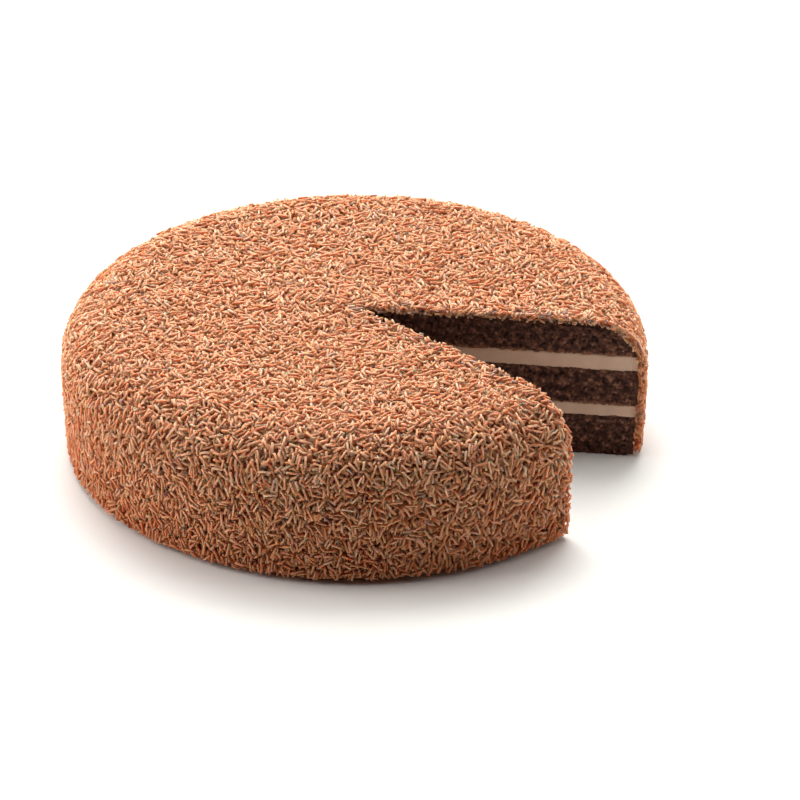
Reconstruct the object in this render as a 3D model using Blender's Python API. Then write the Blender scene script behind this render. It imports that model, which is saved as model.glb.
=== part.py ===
"""Brigadeiro cake with a wedge cut out of it, in metres, +Z up, standing on Z = 0.

Three chocolate sponges with two layers of milk chocolate cream between them, under a thin coat of
brigadeiro icing that is covered all over with chocolate sprinkles. The wedge is missing at the right of
the front, as seen from -Y, and the layers show on both faces of the gap.
"""

import math
import random

import bmesh
import bpy
from mathutils import Vector, noise
from mathutils.bvhtree import BVHTree

MM = 0.001
GAP = 0.3 * MM

# Driving dimensions of the whole cake
COAT_RADIUS = 129.0 * MM
COAT_HEIGHT = 67.0 * MM
COAT_SIDE = 5.0 * MM
COAT_SHOULDER = 24.0 * MM
COAT_FOOT = 0.8 * MM
FOOT_LEAN = 1.8 * MM

# The layers from the bottom up: name, thickness, whether it is cream
LAYERS = (
    ("sponge_bottom", 19.5 * MM, False),
    ("cream_lower", 5.5 * MM, True),
    ("sponge_middle", 18.0 * MM, False),
    ("cream_upper", 6.5 * MM, True),
    ("sponge_top", 14.5 * MM, False),
)
STACK_HEIGHT = sum(thickness for _, thickness, _ in LAYERS)
SPONGE_RADIUS = COAT_RADIUS - COAT_SIDE
SPONGE_SHOULDER = 17.0 * MM
LAYER_STEPS = 36
LAYER_WAVE = 0.45 * MM

# The wedge that is cut out, between two knife cuts that meet near the middle
CUT_ANGLES = (math.radians(-44.0), math.radians(-8.0))
CUT_TIP = Vector((-1.2 * MM, 0.8 * MM, 0.0))
CUT_REACH = 150.0 * MM
CUT_COLUMN = 6.0 * MM
CUT_ROW = 4.8 * MM
CUT_OVERRUN = 6.0 * MM
SPONGE_RELIEF = 0.6 * MM
CREAM_RELIEF = 0.12 * MM
RELIEF_GRAIN = 5.0 * MM

# Bumps of the sprinkled surface, and the sprinkles that stand out of it
BUMP_PITCH = 9.0 * MM
BUMP_DEPTH = 0.75 * MM
SPRINKLE_LENGTH = 5.6 * MM
SPRINKLE_RADIUS = 0.55 * MM
SPRINKLE_SIDES = 5
SPRINKLE_COUNT = 236
SPRINKLE_PROUD = 0.25 * MM
CUT_CLEARANCE = 5.5 * MM
GOLDEN_ANGLE = math.pi * (3.0 - math.sqrt(5.0))

SPONGE_COLOUR = "4a2f26"
CREAM_COLOUR = "bd9478"
COAT_COLOUR = "b67a58"


def linear(hex_colour):
    """An sRGB hex colour as linear RGBA."""
    channels = [int(hex_colour[i : i + 2], 16) / 255 for i in (0, 2, 4)]
    return [c / 12.92 if c <= 0.04045 else ((c + 0.055) / 1.055) ** 2.4 for c in channels] + [1.0]


def finish(name, hex_colour, roughness):
    material = bpy.data.materials.new(name)
    material.use_nodes = True
    shader = material.node_tree.nodes["Principled BSDF"]
    shader.inputs["Base Color"].default_value = linear(hex_colour)
    shader.inputs["Roughness"].default_value = roughness
    shader.inputs["Metallic"].default_value = 0.0
    return material


def object_from(name, bm, material=None):
    """A scene object that holds the bmesh, with its faces pointing out."""
    bmesh.ops.recalc_face_normals(bm, faces=bm.faces)
    mesh = bpy.data.meshes.new(name)
    bm.to_mesh(mesh)
    bm.free()
    if material:
        mesh.materials.append(material)
    made = bpy.data.objects.new(name, mesh)
    bpy.context.scene.collection.objects.link(made)
    return made


def stack_levels():
    """The height of each surface between layers, from the floor to the top of the stack."""
    levels = [0.0]
    for _, thickness, _ in LAYERS:
        levels.append(levels[-1] + thickness)
    return levels


def side_radius(widest, height, shoulder_start):
    """The radius of a side that leans in a little towards its foot."""
    share = min(max(height / shoulder_start, 0.0), 1.0)
    return widest - FOOT_LEAN * (1.0 - math.sin(share * math.pi / 2))


def sponge_radius(height, clearance=0.0):
    """The radius of the stack of layers at a height, with its top edge rounded."""
    start = STACK_HEIGHT - SPONGE_SHOULDER
    if height <= start:
        return side_radius(SPONGE_RADIUS, height, start) + clearance
    rise = min(height - start, SPONGE_SHOULDER)
    return SPONGE_RADIUS - SPONGE_SHOULDER + math.sqrt(SPONGE_SHOULDER**2 - rise**2) + clearance


def shoulder_heights(low, high):
    """Heights at even angles round the rounded top edge of the stack, between two heights."""
    start = STACK_HEIGHT - SPONGE_SHOULDER
    steps = [start + SPONGE_SHOULDER * math.sin(math.radians(angle)) for angle in (8, 26, 44, 62, 78)]
    return [height for height in steps if low + MM < height < high]


def layer_wave(index, x, y):
    """How far the surface between two layers is from flat: the cream was spread by hand."""
    turn = math.atan2(y, x)
    reach = min(math.hypot(x, y) / SPONGE_RADIUS, 1.0)
    return LAYER_WAVE * reach * (
        0.6 * math.sin(3 * turn + 1.9 * index) + 0.4 * math.sin(2 * turn + 0.7 + 3.1 * index)
    )


def layer(index, material):
    """One sponge or cream disc: a profile spun about the axis, with wavy top and bottom."""
    name = LAYERS[index][0]
    levels = stack_levels()
    low, high = levels[index], levels[index + 1]
    is_first, is_last = index == 0, index == len(LAYERS) - 1
    bottom = low if is_first else low + GAP / 2
    top = high if is_last else high - GAP / 2
    walls = [bottom] + shoulder_heights(low, high) + [top]
    profile = [(0.0, bottom), (SPONGE_RADIUS / 2, bottom)]
    profile += [(sponge_radius(height), height) for height in walls]
    profile += [(SPONGE_RADIUS / 2, top), (0.0, top)]
    bm = bmesh.new()
    points = [bm.verts.new((radius, 0.0, height)) for radius, height in profile]
    edges = [bm.edges.new(pair) for pair in zip(points, points[1:])]
    bmesh.ops.spin(
        bm, geom=points + edges, cent=(0, 0, 0), axis=(0, 0, 1), angle=math.tau, steps=LAYER_STEPS
    )
    bmesh.ops.remove_doubles(bm, verts=bm.verts, dist=1e-6)
    for point in bm.verts:
        if abs(point.co.z - bottom) < 1e-6 and not is_first:
            point.co.z += layer_wave(index, point.co.x, point.co.y)
        elif abs(point.co.z - top) < 1e-6 and not is_last:
            point.co.z += layer_wave(index + 1, point.co.x, point.co.y)
    return object_from(name, bm, material)


def cut_rows():
    """Heights of the rows of points on a knife cut, each with the depth of its relief."""
    rows = [(-CUT_OVERRUN, CREAM_RELIEF)]
    for (_, thickness, is_cream), low in zip(LAYERS, stack_levels()):
        count = 1 if is_cream else round(thickness / CUT_ROW)
        depth = CREAM_RELIEF if is_cream else SPONGE_RELIEF
        for step in range(count):
            height = low + thickness * step / count
            rows.append((height, CREAM_RELIEF if step == 0 else depth))
    rows.append((STACK_HEIGHT, CREAM_RELIEF))
    rows.append((COAT_HEIGHT + CUT_OVERRUN, CREAM_RELIEF))
    return rows


def cut_point(angle, along, height, depth, side):
    """A point of a knife cut: on a plane through the tip, moved by the crumb's relief."""
    way = Vector((math.cos(angle), math.sin(angle), 0.0))
    across = Vector((-way.y, way.x, 0.0))
    point = CUT_TIP + way * along + Vector((0.0, 0.0, height))
    grain = noise.noise(point / RELIEF_GRAIN + Vector((0.0, 0.0, 40.0 * side)))
    fade = min(along / (3 * CUT_COLUMN), 1.0)
    return point + across * (2.0 * depth * fade * grain)


def wedge_cutter():
    """The wedge that is cut out: its two faces have the relief of the crumb."""
    columns = math.ceil((SPONGE_RADIUS + COAT_SIDE) / CUT_COLUMN)
    stations = [CUT_COLUMN * (i + 1) for i in range(columns)] + [CUT_REACH]
    bm = bmesh.new()
    loops = []
    for height, depth in cut_rows():
        near = [cut_point(CUT_ANGLES[0], along, height, depth, 0) for along in stations]
        far = [cut_point(CUT_ANGLES[1], along, height, depth, 1) for along in stations]
        tip = CUT_TIP + Vector((0.0, 0.0, height))
        loops.append([bm.verts.new(point) for point in [tip, *near, *reversed(far)]])
    for lower, upper in zip(loops, loops[1:]):
        for i in range(len(lower)):
            j = (i + 1) % len(lower)
            bm.faces.new((lower[i], lower[j], upper[j], upper[i]))
    bm.faces.new(loops[0])
    bm.faces.new(loops[-1])
    cutter = object_from("wedge_cutter", bm)
    cutter.hide_render = True
    cutter.display_type = "WIRE"
    return cutter


def cut_away(target, cutter):
    """Cuts the wedge out of an object with a Boolean modifier that stays on it."""
    cut = target.modifiers.new("wedge", "BOOLEAN")
    cut.operation = "DIFFERENCE"
    cut.solver = "EXACT"
    cut.object = cutter


def coat_place(along):
    """A point of the coat's outer profile and its outward normal, by distance from the top's middle."""
    flat = COAT_RADIUS - COAT_SHOULDER
    arc = COAT_SHOULDER * math.pi / 2
    start = COAT_HEIGHT - COAT_SHOULDER
    if along <= flat:
        return along, COAT_HEIGHT, 0.0, 1.0
    if along <= flat + arc:
        turn = (along - flat) / COAT_SHOULDER
        return (
            flat + COAT_SHOULDER * math.sin(turn),
            start + COAT_SHOULDER * math.cos(turn),
            math.sin(turn),
            math.cos(turn),
        )
    height = start - (along - flat - arc)
    return side_radius(COAT_RADIUS, height, start), height, 1.0, 0.0


def coat_profile_length():
    flat = COAT_RADIUS - COAT_SHOULDER
    arc = COAT_SHOULDER * math.pi / 2
    return flat + arc + COAT_HEIGHT - COAT_SHOULDER - COAT_FOOT


def coat_point(along, turn, lift=0.0):
    """A point on or above the coat, by its distance from the middle and its turn about the axis."""
    radius, height, out, up = coat_place(along)
    spread = radius + out * lift
    return Vector((spread * math.cos(turn), spread * math.sin(turn), height + up * lift))


def zip_rings(bm, first, second):
    """Triangles between two rings of (angle, vertex) pairs that may differ in number."""
    i = j = 0
    while i < len(first) or j < len(second):
        next_first = first[i + 1][0] if i + 1 < len(first) else first[0][0] + math.tau
        next_second = second[j + 1][0] if j + 1 < len(second) else second[0][0] + math.tau
        a, b = first[i % len(first)][1], second[j % len(second)][1]
        if j >= len(second) or (i < len(first) and next_first <= next_second):
            bm.faces.new((a, first[(i + 1) % len(first)][1], b))
            i += 1
        else:
            bm.faces.new((a, second[(j + 1) % len(second)][1], b))
            j += 1


def fan(bm, centre, ring):
    """Triangles from one vertex to a ring of (angle, vertex) pairs."""
    for (_, a), (_, b) in zip(ring, ring[1:] + ring[:1]):
        bm.faces.new((centre, a, b))


def plain_ring(bm, radius, height):
    turns = [math.tau * i / LAYER_STEPS for i in range(LAYER_STEPS)]
    return [
        (turn, bm.verts.new((radius * math.cos(turn), radius * math.sin(turn), height))) for turn in turns
    ]


def coat_shell(material):
    """The icing with the bumps of its sprinkles outside, and the shape of the stack inside."""
    rng = random.Random(11)
    bm = bmesh.new()
    count = round(coat_profile_length() / (BUMP_PITCH * 0.88))
    rings = []
    for k in range(1, count + 1):
        along = coat_profile_length() * k / count
        points = max(6, round(math.tau * coat_place(along)[0] / BUMP_PITCH))
        is_foot = k == count
        ring = []
        for i in range(points):
            turn = math.tau * (i + 0.5 * (k % 2) + rng.uniform(-0.18, 0.18) + 0.2) / points
            lift = BUMP_DEPTH * rng.uniform(-0.65, 0.35)
            shift = 0.0 if is_foot else BUMP_PITCH * rng.uniform(-0.16, 0.16)
            ring.append((turn, bm.verts.new(coat_point(along + shift, turn, lift))))
        rings.append(ring)
    fan(bm, bm.verts.new(coat_point(0.0, 0.0)), rings[0])
    for first, second in zip(rings, rings[1:]):
        zip_rings(bm, first, second)
    start = STACK_HEIGHT - SPONGE_SHOULDER
    heights = [COAT_FOOT, start / 2, start] + shoulder_heights(start, STACK_HEIGHT) + [STACK_HEIGHT]
    inner = []
    for height in heights:
        raised = height + GAP if height > start else height
        inner.append(plain_ring(bm, sponge_radius(height, GAP), raised))
    inner.append(plain_ring(bm, SPONGE_RADIUS / 2, STACK_HEIGHT + GAP))
    zip_rings(bm, rings[-1], inner[0])
    for first, second in zip(inner, inner[1:]):
        zip_rings(bm, first, second)
    fan(bm, bm.verts.new((0.0, 0.0, STACK_HEIGHT + GAP)), inner[-1])
    return object_from("sprinkle_coat", bm, material)


def distance_to_gap(point):
    """How far a point is outside the wedge, and negative inside it."""
    offset = point - CUT_TIP
    near, far = CUT_ANGLES
    below = offset.x * math.sin(near) - offset.y * math.cos(near)
    above = offset.y * math.cos(far) - offset.x * math.sin(far)
    if offset.x < 0 and offset.length > CUT_CLEARANCE:
        return offset.length
    return max(below, above)


def area_to_length(share):
    """The distance from the middle within which this share of the coat's outer area lies."""
    steps = 200
    length = coat_profile_length()
    rings = [coat_place(length * (i + 0.5) / steps)[0] for i in range(steps)]
    wanted = share * sum(rings)
    for i, ring in enumerate(rings):
        if wanted <= ring:
            return length * (i + wanted / ring) / steps
        wanted -= ring
    return length


def sprinkle(name, start, end):
    """One sprinkle: a short straight rod with blunt ends."""
    way = (end - start).normalized()
    side = way.orthogonal().normalized()
    other = way.cross(side)
    bm = bmesh.new()
    ends = []
    for centre in (start, end):
        loop = []
        for i in range(SPRINKLE_SIDES):
            turn = math.tau * i / SPRINKLE_SIDES
            reach = side * math.cos(turn) + other * math.sin(turn)
            loop.append(bm.verts.new(centre + reach * SPRINKLE_RADIUS))
        ends.append(loop)
    first, second = ends
    for i in range(SPRINKLE_SIDES):
        j = (i + 1) % SPRINKLE_SIDES
        bm.faces.new((first[i], first[j], second[j], second[i]))
    bm.faces.new(first)
    bm.faces.new(second)
    return object_from(name, bm)


def sprinkles_on(shell):
    """Sprinkles spread evenly over the shell, each lying on the bumps under its two ends."""
    rng = random.Random(23)
    surface = BVHTree.FromPolygons(
        [point.co for point in shell.data.vertices], [face.vertices for face in shell.data.polygons]
    )
    half = SPRINKLE_LENGTH / 2
    made = []
    for k in range(SPRINKLE_COUNT):
        along = area_to_length((k + 0.5) / SPRINKLE_COUNT)
        along = min(along, coat_profile_length() - half)
        turn = k * GOLDEN_ANGLE
        middle = coat_point(along, turn)
        if distance_to_gap(middle) < CUT_CLEARANCE:
            continue
        normal = (coat_point(along, turn, 1.0) - middle).normalized()
        round_way = Vector((-math.sin(turn), math.cos(turn), 0.0))
        down_way = round_way.cross(normal)
        heading = rng.uniform(0.0, math.pi)
        way = round_way * math.cos(heading) + down_way * math.sin(heading)
        ends = []
        for sign in (-1.0, 1.0):
            above = middle + way * (sign * half * 0.7) + normal * (4 * MM)
            hit = surface.ray_cast(above, -normal)[0]
            ends.append(hit + normal * SPRINKLE_PROUD)
        centre = (ends[0] + ends[1]) / 2
        lay = (ends[1] - ends[0]).normalized()
        made.append(sprinkle(f"sprinkle_{k}", centre - lay * half, centre + lay * half))
    return made


def fuse(target, pieces):
    """Joins pieces to the target with one applied Boolean union, and removes them."""
    group = bpy.data.collections.new("sprinkles")
    bpy.context.scene.collection.children.link(group)
    for piece in pieces:
        bpy.context.scene.collection.objects.unlink(piece)
        group.objects.link(piece)
    join = target.modifiers.new("sprinkles", "BOOLEAN")
    join.operation = "UNION"
    join.operand_type = "COLLECTION"
    join.collection = group
    join.solver = "MANIFOLD"
    graph = bpy.context.evaluated_depsgraph_get()
    fused = bpy.data.meshes.new_from_object(target.evaluated_get(graph))
    target.modifiers.clear()
    target.data = fused
    for piece in pieces:
        bpy.data.objects.remove(piece)
    bpy.data.collections.remove(group)


def main():
    for existing in list(bpy.data.objects):
        bpy.data.objects.remove(existing)
    sponge = finish("chocolate_sponge", SPONGE_COLOUR, 0.95)
    cream = finish("milk_chocolate_cream", CREAM_COLOUR, 0.55)
    coat = finish("sprinkled_icing", COAT_COLOUR, 0.6)
    wedge = wedge_cutter()
    for index, (_, _, is_cream) in enumerate(LAYERS):
        cut_away(layer(index, cream if is_cream else sponge), wedge)
    shell = coat_shell(coat)
    fuse(shell, sprinkles_on(shell))
    cut_away(shell, wedge)


main()
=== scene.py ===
# %% [markdown]
# # Dressing a brigadeiro cake
# This cake is three discs of dark chocolate sponge with milk chocolate cream between them, under a soft
# icing with so many chocolate sprinkles on it that it hardly shows. A wedge is missing, so the layers can
# be seen. The solids of the cake are already fixed, and this lesson makes what the eye sees on them. We
# start by loading those solids, because every piece that we make has to ride on one of their bodies.

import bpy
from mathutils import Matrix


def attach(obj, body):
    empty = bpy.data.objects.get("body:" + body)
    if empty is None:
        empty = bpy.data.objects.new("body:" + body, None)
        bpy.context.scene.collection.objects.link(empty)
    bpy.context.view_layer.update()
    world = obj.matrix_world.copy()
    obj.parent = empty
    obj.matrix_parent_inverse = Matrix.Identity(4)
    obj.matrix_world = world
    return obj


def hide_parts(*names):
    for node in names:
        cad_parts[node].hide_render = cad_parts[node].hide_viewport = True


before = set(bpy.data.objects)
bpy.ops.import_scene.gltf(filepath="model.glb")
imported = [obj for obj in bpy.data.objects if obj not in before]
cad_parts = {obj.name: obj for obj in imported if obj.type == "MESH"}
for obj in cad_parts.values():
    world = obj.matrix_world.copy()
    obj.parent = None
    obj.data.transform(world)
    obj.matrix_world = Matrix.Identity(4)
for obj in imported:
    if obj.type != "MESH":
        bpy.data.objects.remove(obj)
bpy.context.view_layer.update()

# %% Modules and the unit of length
import math

import bpy
import numpy as np
from mathutils import Vector, noise

MM = 0.001

# %% [markdown]
# ## The shape that everything follows
# A cake is turned round an axis, so one outline describes it: a flat top, a rounded edge where the icing
# was smoothed over with a palette knife, and a side that leans in a little towards its foot. We could read
# this outline off the solids, but short formulas with named sizes are easier to follow and to change. Every
# distance on the coat is measured along that outline from the middle of the top, as a tape would lie.

# %% Sizes of the cake
COAT_RADIUS = 129.0 * MM
COAT_HEIGHT = 67.0 * MM
COAT_SHOULDER = 24.0 * MM
COAT_FOOT = 0.8 * MM
FOOT_LEAN = 1.8 * MM
STACK_RADIUS = 124.0 * MM
STACK_SHOULDER = 17.0 * MM
LAYERS = (
    ("sponge_bottom", 19.5 * MM),
    ("cream_lower", 5.5 * MM),
    ("sponge_middle", 18.0 * MM),
    ("cream_upper", 6.5 * MM),
    ("sponge_top", 14.5 * MM),
)
STACK_HEIGHT = sum(thickness for _, thickness in LAYERS)
QUARTER = math.pi / 2
print("the layers stack up to", round(STACK_HEIGHT / MM, 1), "mm")


# %% The outline as a tape would lie
def side_radius(widest, height, shoulder_start):
    """The radius of a side that leans in towards its foot."""
    share = np.clip(height / shoulder_start, 0.0, 1.0)
    return widest - FOOT_LEAN * (1.0 - np.sin(share * QUARTER))


def outline_place(along, widest, top, shoulder):
    """Radius, height and outward normal (out, up) at these distances from the middle of the top."""
    along = np.asarray(along, float)
    flat, start = widest - shoulder, top - shoulder
    turn = np.clip((along - flat) / shoulder, 0.0, QUARTER)
    below = along - flat - shoulder * QUARTER
    height = np.where(below > 0, start - below, start + shoulder * np.cos(turn))
    rounded = np.minimum(along, flat) + shoulder * np.sin(turn)
    radius = np.where(below > 0, side_radius(widest, height, start), rounded)
    return radius, height, np.sin(turn), np.cos(turn)


def coat_place(along):
    """The outline of the coat, which its lying sprinkles reach."""
    return outline_place(along, COAT_RADIUS, COAT_HEIGHT, COAT_SHOULDER)


def stack_place(along):
    """The outline of the stack of layers inside the coat."""
    return outline_place(along, STACK_RADIUS, STACK_HEIGHT, STACK_SHOULDER)


def outline_length(widest, top, shoulder):
    """The way along an outline from the middle of the top to the foot."""
    return widest - shoulder + shoulder * QUARTER + top - shoulder - COAT_FOOT


COAT_FLAT = COAT_RADIUS - COAT_SHOULDER
COAT_ARC = COAT_SHOULDER * QUARTER
COAT_LENGTH = outline_length(COAT_RADIUS, COAT_HEIGHT, COAT_SHOULDER)
STACK_LENGTH = outline_length(STACK_RADIUS, STACK_HEIGHT, STACK_SHOULDER)
print("the coat's outline is", round(COAT_LENGTH / MM, 1), "mm long from the middle to the foot")


def stack_radius(height):
    """The radius of the stack of layers at a height, with its top edge rounded."""
    height = np.asarray(height, float)
    start = STACK_HEIGHT - STACK_SHOULDER
    rise = np.clip(height - start, 0.0, STACK_SHOULDER)
    rounded = STACK_RADIUS - STACK_SHOULDER + np.sqrt(STACK_SHOULDER**2 - rise**2)
    return np.where(height < start, side_radius(STACK_RADIUS, height, start), rounded)


# %% [markdown]
# ## The two knife cuts
# The missing wedge lies between two straight cuts that meet near the middle. A knife never meets the middle
# exactly, so the tip is 1.4 mm off it. Every piece is built round that tip: its points lie on rays
# from the tip, between the far cut and, the long way round, the near cut. That way each piece has its cut
# faces from the start, where a Boolean would leave long thin triangles on a face that needs a fine mesh.

# %% The tip, the cuts and rays to the rim
CUT_TIP = np.array((-1.2 * MM, 0.8 * MM))
FAR_CUT = math.radians(-8.0)
NEAR_CUT = math.radians(-44.0)
print("the gap is", round(math.degrees(FAR_CUT - NEAR_CUT)), "degrees wide")


def ray_length(turn, radius):
    """How far the circle of this radius about the cake's axis is from the tip, along a ray."""
    towards = CUT_TIP[0] * np.cos(turn) + CUT_TIP[1] * np.sin(turn)
    return -towards + np.sqrt(towards**2 - CUT_TIP @ CUT_TIP + radius**2)


def beyond_cuts(x, y):
    """How far points are outside the missing wedge, in plan: negative inside it."""
    dx, dy = x - CUT_TIP[0], y - CUT_TIP[1]
    above_far = dy * math.cos(FAR_CUT) - dx * math.sin(FAR_CUT)
    below_near = dx * math.sin(NEAR_CUT) - dy * math.cos(NEAR_CUT)
    return np.maximum(above_far, below_near)


# %% [markdown]
# ## Materials by recipe
# Each finish is a small node tree. One function turns the hex colours of a paint chart into the linear
# values that Blender computes with, and one adds a node with its settings and links, so that a tree reads
# from top to bottom like a recipe.

# %% Helpers for materials
def linear(hex_colour):
    """An sRGB hex colour as linear RGBA."""
    channels = [int(hex_colour[i : i + 2], 16) / 255 for i in (0, 2, 4)]
    return [c / 12.92 if c <= 0.04045 else ((c + 0.055) / 1.055) ** 2.4 for c in channels] + [1.0]


def new_material(name, roughness, ior, others=None):
    """A material whose shader starts with its roughness, its IOR and any other plain values."""
    material = bpy.data.materials.new(name)
    material.use_nodes = True
    shader = material.node_tree.nodes["Principled BSDF"]
    shader.inputs["Roughness"].default_value = roughness
    shader.inputs["IOR"].default_value = ior
    for socket, value in (others or {}).items():
        shader.inputs[socket].default_value = value
    return material, material.node_tree, shader


# %% Adding a node
def add_node(tree, kind, settings=None, **inputs):
    """Adds one node, with its settings, and with inputs that are values or other nodes' outputs.

    An input goes by its name, or by its number where several have one name: i0, i1 and i2 are the values of
    a Math node, and i0, i6 and i7 are the share and the two colours of a Mix node.
    """
    node = tree.nodes.new(kind)
    for name, value in (settings or {}).items():
        setattr(node, name, value)
    for name, value in inputs.items():
        numbered = name[0] == "i" and name[1:].isdigit()
        socket = node.inputs[int(name[1:]) if numbered else name]
        if isinstance(value, bpy.types.NodeSocket):
            tree.links.new(value, socket)
        else:
            socket.default_value = value
    return node


# Settings that several recipes share
MIX_COLOURS = {"data_type": "RGBA"}
MULTIPLY_ADD = {"operation": "MULTIPLY_ADD"}
COMPARE = {"operation": "COMPARE"}


def set_stops(ramp, stops):
    """Gives a colour ramp these (position, hex colour) stops."""
    elements = ramp.color_ramp.elements
    while len(elements) > 2:
        elements.remove(elements[-1])
    for i, (position, colour) in enumerate(stops):
        stop = elements[i] if i < 2 else elements.new(position)
        stop.position = position
        stop.color = linear(colour)
    return ramp.outputs["Color"]


# %% [markdown]
# ## Meshes from arrays
# The coat is tens of thousands of small bodies. Adding them one by one would take minutes, so the points of
# all of them are computed as one array and handed to Blender at once. Every piece of the cake is made by the
# same function, and a second one says which solid the piece stands for.

# %% Helpers for meshes
def mesh_piece(name, points, faces, material, smooth=True, values=None, layout=None):
    """An object from arrays: faces is a list of index arrays, each with faces of one number of corners.

    smooth is one answer for all faces, or one for each array. values is a dict of one number per point,
    kept as attributes. layout is one (u, v) per face corner.
    """
    mesh = bpy.data.meshes.new(name)
    sizes = np.concatenate([np.full(len(part), part.shape[1]) for part in faces])
    corners = np.concatenate([part.ravel() for part in faces])
    mesh.vertices.add(len(points))
    mesh.vertices.foreach_set("co", np.asarray(points, np.float32).ravel())
    mesh.loops.add(len(corners))
    mesh.loops.foreach_set("vertex_index", corners.astype(np.int32))
    mesh.polygons.add(len(sizes))
    starts = np.concatenate(([0], np.cumsum(sizes)[:-1]))
    mesh.polygons.foreach_set("loop_start", starts.astype(np.int32))
    shading = np.repeat(np.broadcast_to(smooth, len(faces)), [len(part) for part in faces])
    mesh.polygons.foreach_set("use_smooth", shading)
    for key, numbers in (values or {}).items():
        attribute = mesh.attributes.new(key, "FLOAT", "POINT")
        attribute.data.foreach_set("value", np.asarray(numbers, np.float32))
    if layout is not None:
        uv = mesh.uv_layers.new(name="OFBake")
        uv.data.foreach_set("uv", np.asarray(layout, np.float32).ravel())
    mesh.update(calc_edges=True)
    mesh.validate()
    mesh.materials.append(material)
    made = bpy.data.objects.new(name, mesh)
    bpy.context.scene.collection.objects.link(made)
    return made


def dress(piece, node):
    """Puts a finished piece in the place of a solid of the cake."""
    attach(piece, "root")
    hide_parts(node)
    print(piece.name, "has", len(piece.data.polygons), "faces")


# %% [markdown]
# ## Laying the sprinkles
# Chocolate sprinkles are short rods of pressed chocolate, about 5 mm long and 1 mm thick. On the cake they
# were poured over soft icing and patted on: the lowest are half sunk, and the rest lie across them. Rods
# scattered at random angles would pass through each other, and a rigid-body simulation of sixty thousand
# would take hours. So each rod is laid the way it would settle: we keep a map of how high the coat is
# everywhere, look at the map under the rod, rest it on the two highest places on either side of its middle,
# and then raise the map by the rod. Each one has a few places to choose from and takes the lowest, as rods
# that are patted down roll into the hollows.

# %% Sizes of the sprinkles
SPRINKLES = 62000
TRIES = 6
SPRINKLE_LENGTH = 4.7 * MM
SPRINKLE_RADIUS = 0.52 * MM
LENGTH_RANGE = (0.62, 1.28)
RADIUS_RANGE = (0.88, 1.12)
BARE_FOOT = 1.0 * MM

# Heights are measured outwards from the coat's outline, and the icing lies below it
ICING_LEVEL = -2.3 * MM
ICING_SINK = 0.35 * MM

# Close to the middle of the top the rings get so small that a small step is a large turn
LEAST_RING = 8 * MM

# %% Places for the sprinkles to fall
STRAY = 1.6 * MM
OUTLINE_STEPS = 400
HANGING_START = 0.35
HANGING_MOST = 0.75
LESS_AT_FRONT = 0.3
HANGING_SPREAD = math.radians(28)

# One over the plastic number, and one over its square: multiples of the two fill a square evenly
EVEN_TURN = 0.7548776662
EVEN_ALONG = 0.5698402910


def even_spread(count):
    """Evenly spread (along, turn) places on the coat, in an order in which any first part is even too."""
    steps = np.linspace(0.0, COAT_LENGTH, OUTLINE_STEPS)
    area = np.concatenate(([0.0], np.cumsum(coat_place((steps[1:] + steps[:-1]) / 2)[0])))
    order = np.arange(1, count + 1)
    along = np.interp(np.mod(order * EVEN_ALONG, 1.0) * area[-1], area, steps)
    return along, math.tau * np.mod(order * EVEN_TURN, 1.0)


def hanging_share(along, turn):
    """How many of the sprinkles at a place hang downwards, as they do on the side, less so at the front."""
    on_side = np.clip((along - COAT_FLAT - COAT_ARC * HANGING_START) / COAT_ARC, 0.0, 1.0)
    at_front = np.maximum(0.0, np.cos(turn + QUARTER))
    return on_side * (HANGING_MOST - LESS_AT_FRONT * at_front)


def falling_sprinkles(rng):
    """Several places, headings and a length for each sprinkle before it lies."""
    shape = (SPRINKLES, TRIES)
    along, turn = even_spread(SPRINKLES)
    length = np.repeat(SPRINKLE_LENGTH * rng.uniform(*LENGTH_RANGE, (SPRINKLES, 1)), TRIES, axis=1)
    along = along[:, None] + rng.normal(0.0, STRAY, shape)
    turn = turn[:, None] + rng.normal(0.0, STRAY, shape) / np.maximum(coat_place(along)[0], LEAST_RING)
    free = rng.uniform(-QUARTER, QUARTER, shape)
    hanging = rng.normal(0.0, HANGING_SPREAD, shape)
    heading = np.where(rng.uniform(size=shape) < hanging_share(along, turn), hanging, free)
    foot_room = np.abs(np.cos(heading)) * length / 2 + SPRINKLE_RADIUS + BARE_FOOT
    return np.clip(np.abs(along), 0.0, COAT_LENGTH - foot_room), turn, heading, length


# %% Sprinkles that a knife went through
# The marks are places along a sprinkle, as shares of its length, and a piece below the least one falls off
KNIFE_MARKS = np.linspace(-0.5, 0.5, 41)
LEAST_PIECE = 0.3
PAST_THE_CUT = (-0.2 * MM, 0.9 * MM)


def cut_off(rng, along, turn, heading, length):
    """Shortens the sprinkles that cross a cut, and says which are left."""
    ring, _, _, up = coat_place(along)
    spoke = np.stack([np.cos(turn), np.sin(turn)], -1)
    around = np.stack([-np.sin(turn), np.cos(turn)], -1)
    way = spoke * (up * np.cos(heading))[..., None] + around * np.sin(heading)[..., None]
    marks = length[..., None, None] * KNIFE_MARKS[:, None]
    track = (ring[..., None] * spoke)[..., None, :] + way[..., None, :] * marks
    spare = rng.uniform(*PAST_THE_CUT, along.shape)
    clear = beyond_cuts(track[..., 0], track[..., 1]) > -spare[..., None]
    before = np.where(~clear & (KNIFE_MARKS < 0), KNIFE_MARKS, -0.5).max(-1)
    after = np.where(~clear & (KNIFE_MARKS > 0), KNIFE_MARKS, 0.5).min(-1)
    usable = clear[..., len(KNIFE_MARKS) // 2] & (after - before > LEAST_PIECE)
    shift = (after + before) / 2 * length
    along = along + shift * np.cos(heading)
    turn = turn + shift * np.sin(heading) / np.maximum(ring, LEAST_RING)
    return along, turn, length * (after - before), usable


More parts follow.
